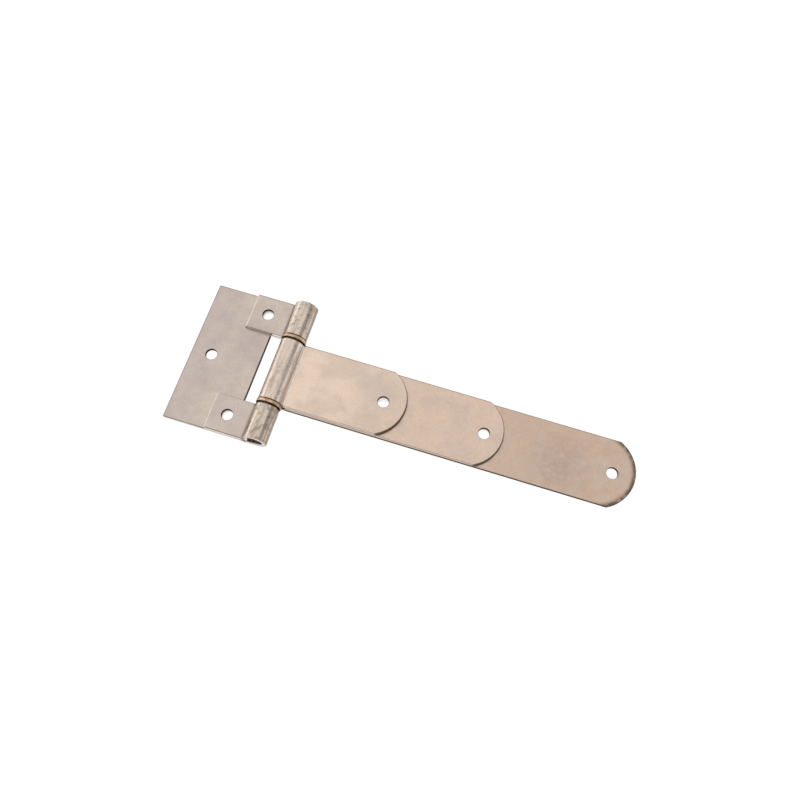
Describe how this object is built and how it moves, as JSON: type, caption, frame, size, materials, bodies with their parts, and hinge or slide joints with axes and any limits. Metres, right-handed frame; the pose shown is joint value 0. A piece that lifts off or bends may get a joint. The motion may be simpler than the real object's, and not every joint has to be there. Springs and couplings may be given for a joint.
{
  "type": "t hinge",
  "caption": "Flat T hinge: a slotted screw leaf, a layered round-tipped strap that swings on a pin, and thrust washers between the rolled eyes.",
  "frame": {"origin": "on the back plane, straight under the middle of the pin", "axes": "+X from the pin along the strap, +Y along the pin, +Z out of the front face"},
  "size_m": [0.3, 0.1, 0.0168],
  "materials": {
    "leaf_steel": "satin mill finish, warm grey with faint heat and rolling marks",
    "strap_steel": "satin, warm, with fine scuffs",
    "pin_steel": "turned, satin",
    "washer_brass": "turned, lightly tarnished"
  },
  "bodies": {
    "leaf": {"frame_leaf": "leaf_steel", "hinge_pin": "pin_steel"},
    "strap_arm": {"strap": "strap_steel", "strap_middle_plate": "strap_steel"},
    "upper_thrust_washer": {"upper_washer": "washer_brass"},
    "lower_thrust_washer": {"lower_washer": "washer_brass"}
  },
  "joints": [
    {"name": "strap_swing", "type": "hinge", "parent": "leaf", "child": "strap_arm", "pos_m": [0, 0, 0.008], "axis": [0, -1, 0], "range_deg": [-130, 183]},
    {"name": "upper_washer_spin", "type": "hinge", "parent": "leaf", "child": "upper_thrust_washer", "pos_m": [0, 0.02363, 0.008], "axis": [0, 1, 0], "continuous": true},
    {"name": "lower_washer_spin", "type": "hinge", "parent": "leaf", "child": "lower_thrust_washer", "pos_m": [0, -0.02363, 0.008], "axis": [0, 1, 0], "continuous": true}
  ]
}
